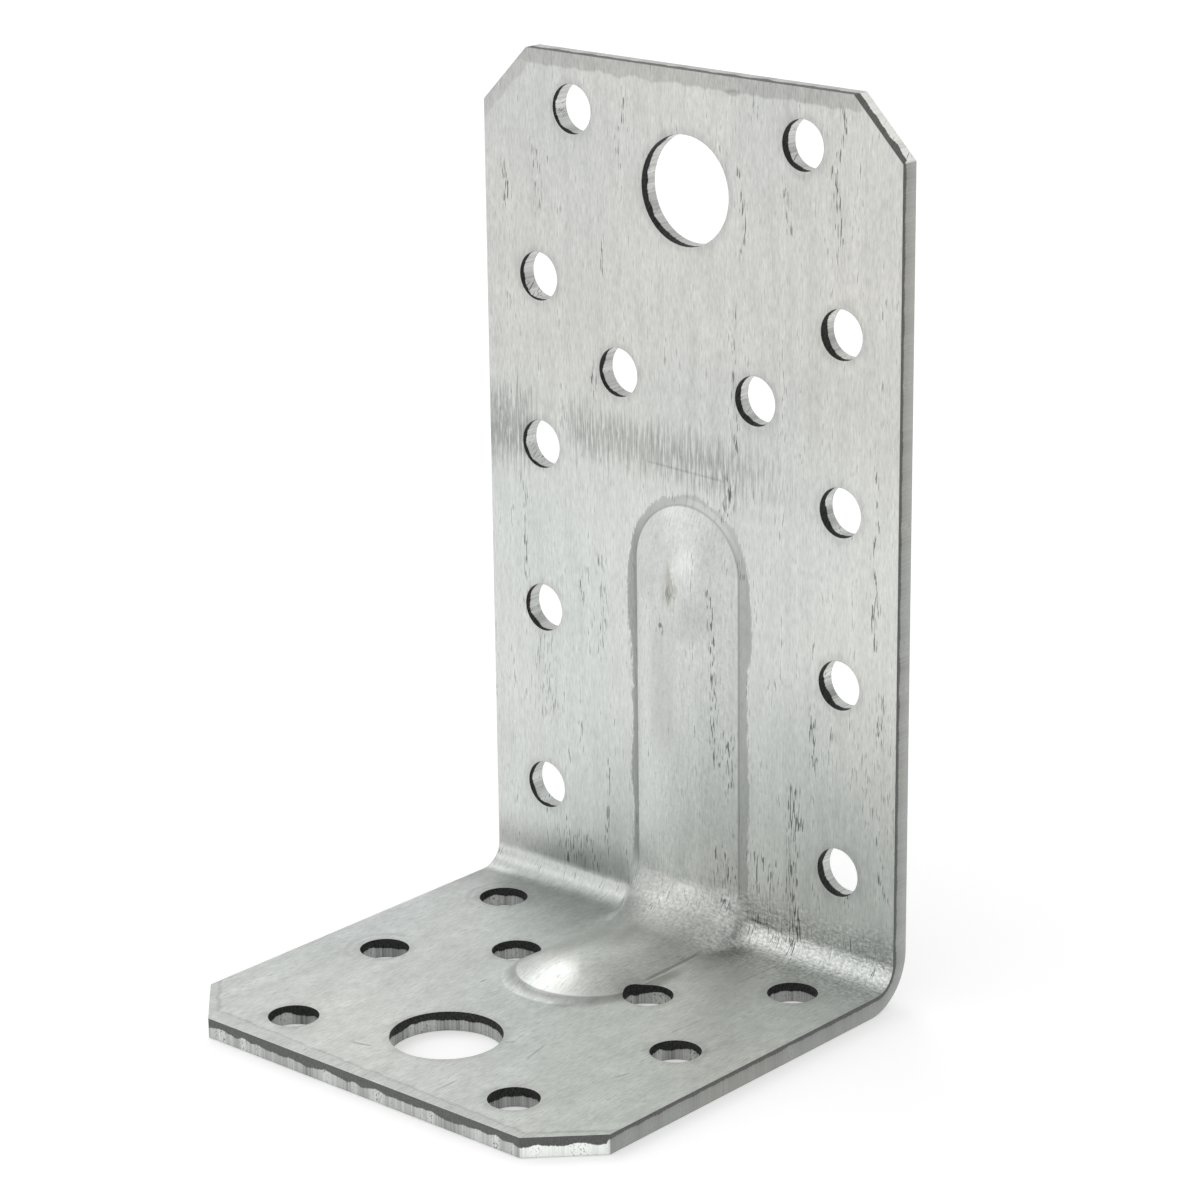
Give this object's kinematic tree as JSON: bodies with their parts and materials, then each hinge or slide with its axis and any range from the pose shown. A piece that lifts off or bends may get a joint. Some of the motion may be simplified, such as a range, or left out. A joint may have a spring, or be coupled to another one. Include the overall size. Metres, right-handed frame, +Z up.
{
  "type": "angle bracket",
  "caption": "Folded steel angle bracket with a tall and a short leg, cut corners, a pressed bead across the bend, nail holes and a bolt hole in each leg.",
  "frame": {"origin": "middle of the footprint on the surface the short leg rests on", "axes": "+Z up the tall leg, +Y out of the tall leg's flat outer face, -Y along the short leg to its free end, X across the width"},
  "size_m": [0.0524, 0.05, 0.09],
  "materials": {
    "galvanised_steel": "hot-dip galvanised sheet, satin, with fine drawn streaks and handling scratches"
  },
  "bodies": {
    "root": {"angle_bracket": "galvanised_steel"}
  },
  "joints": []
}
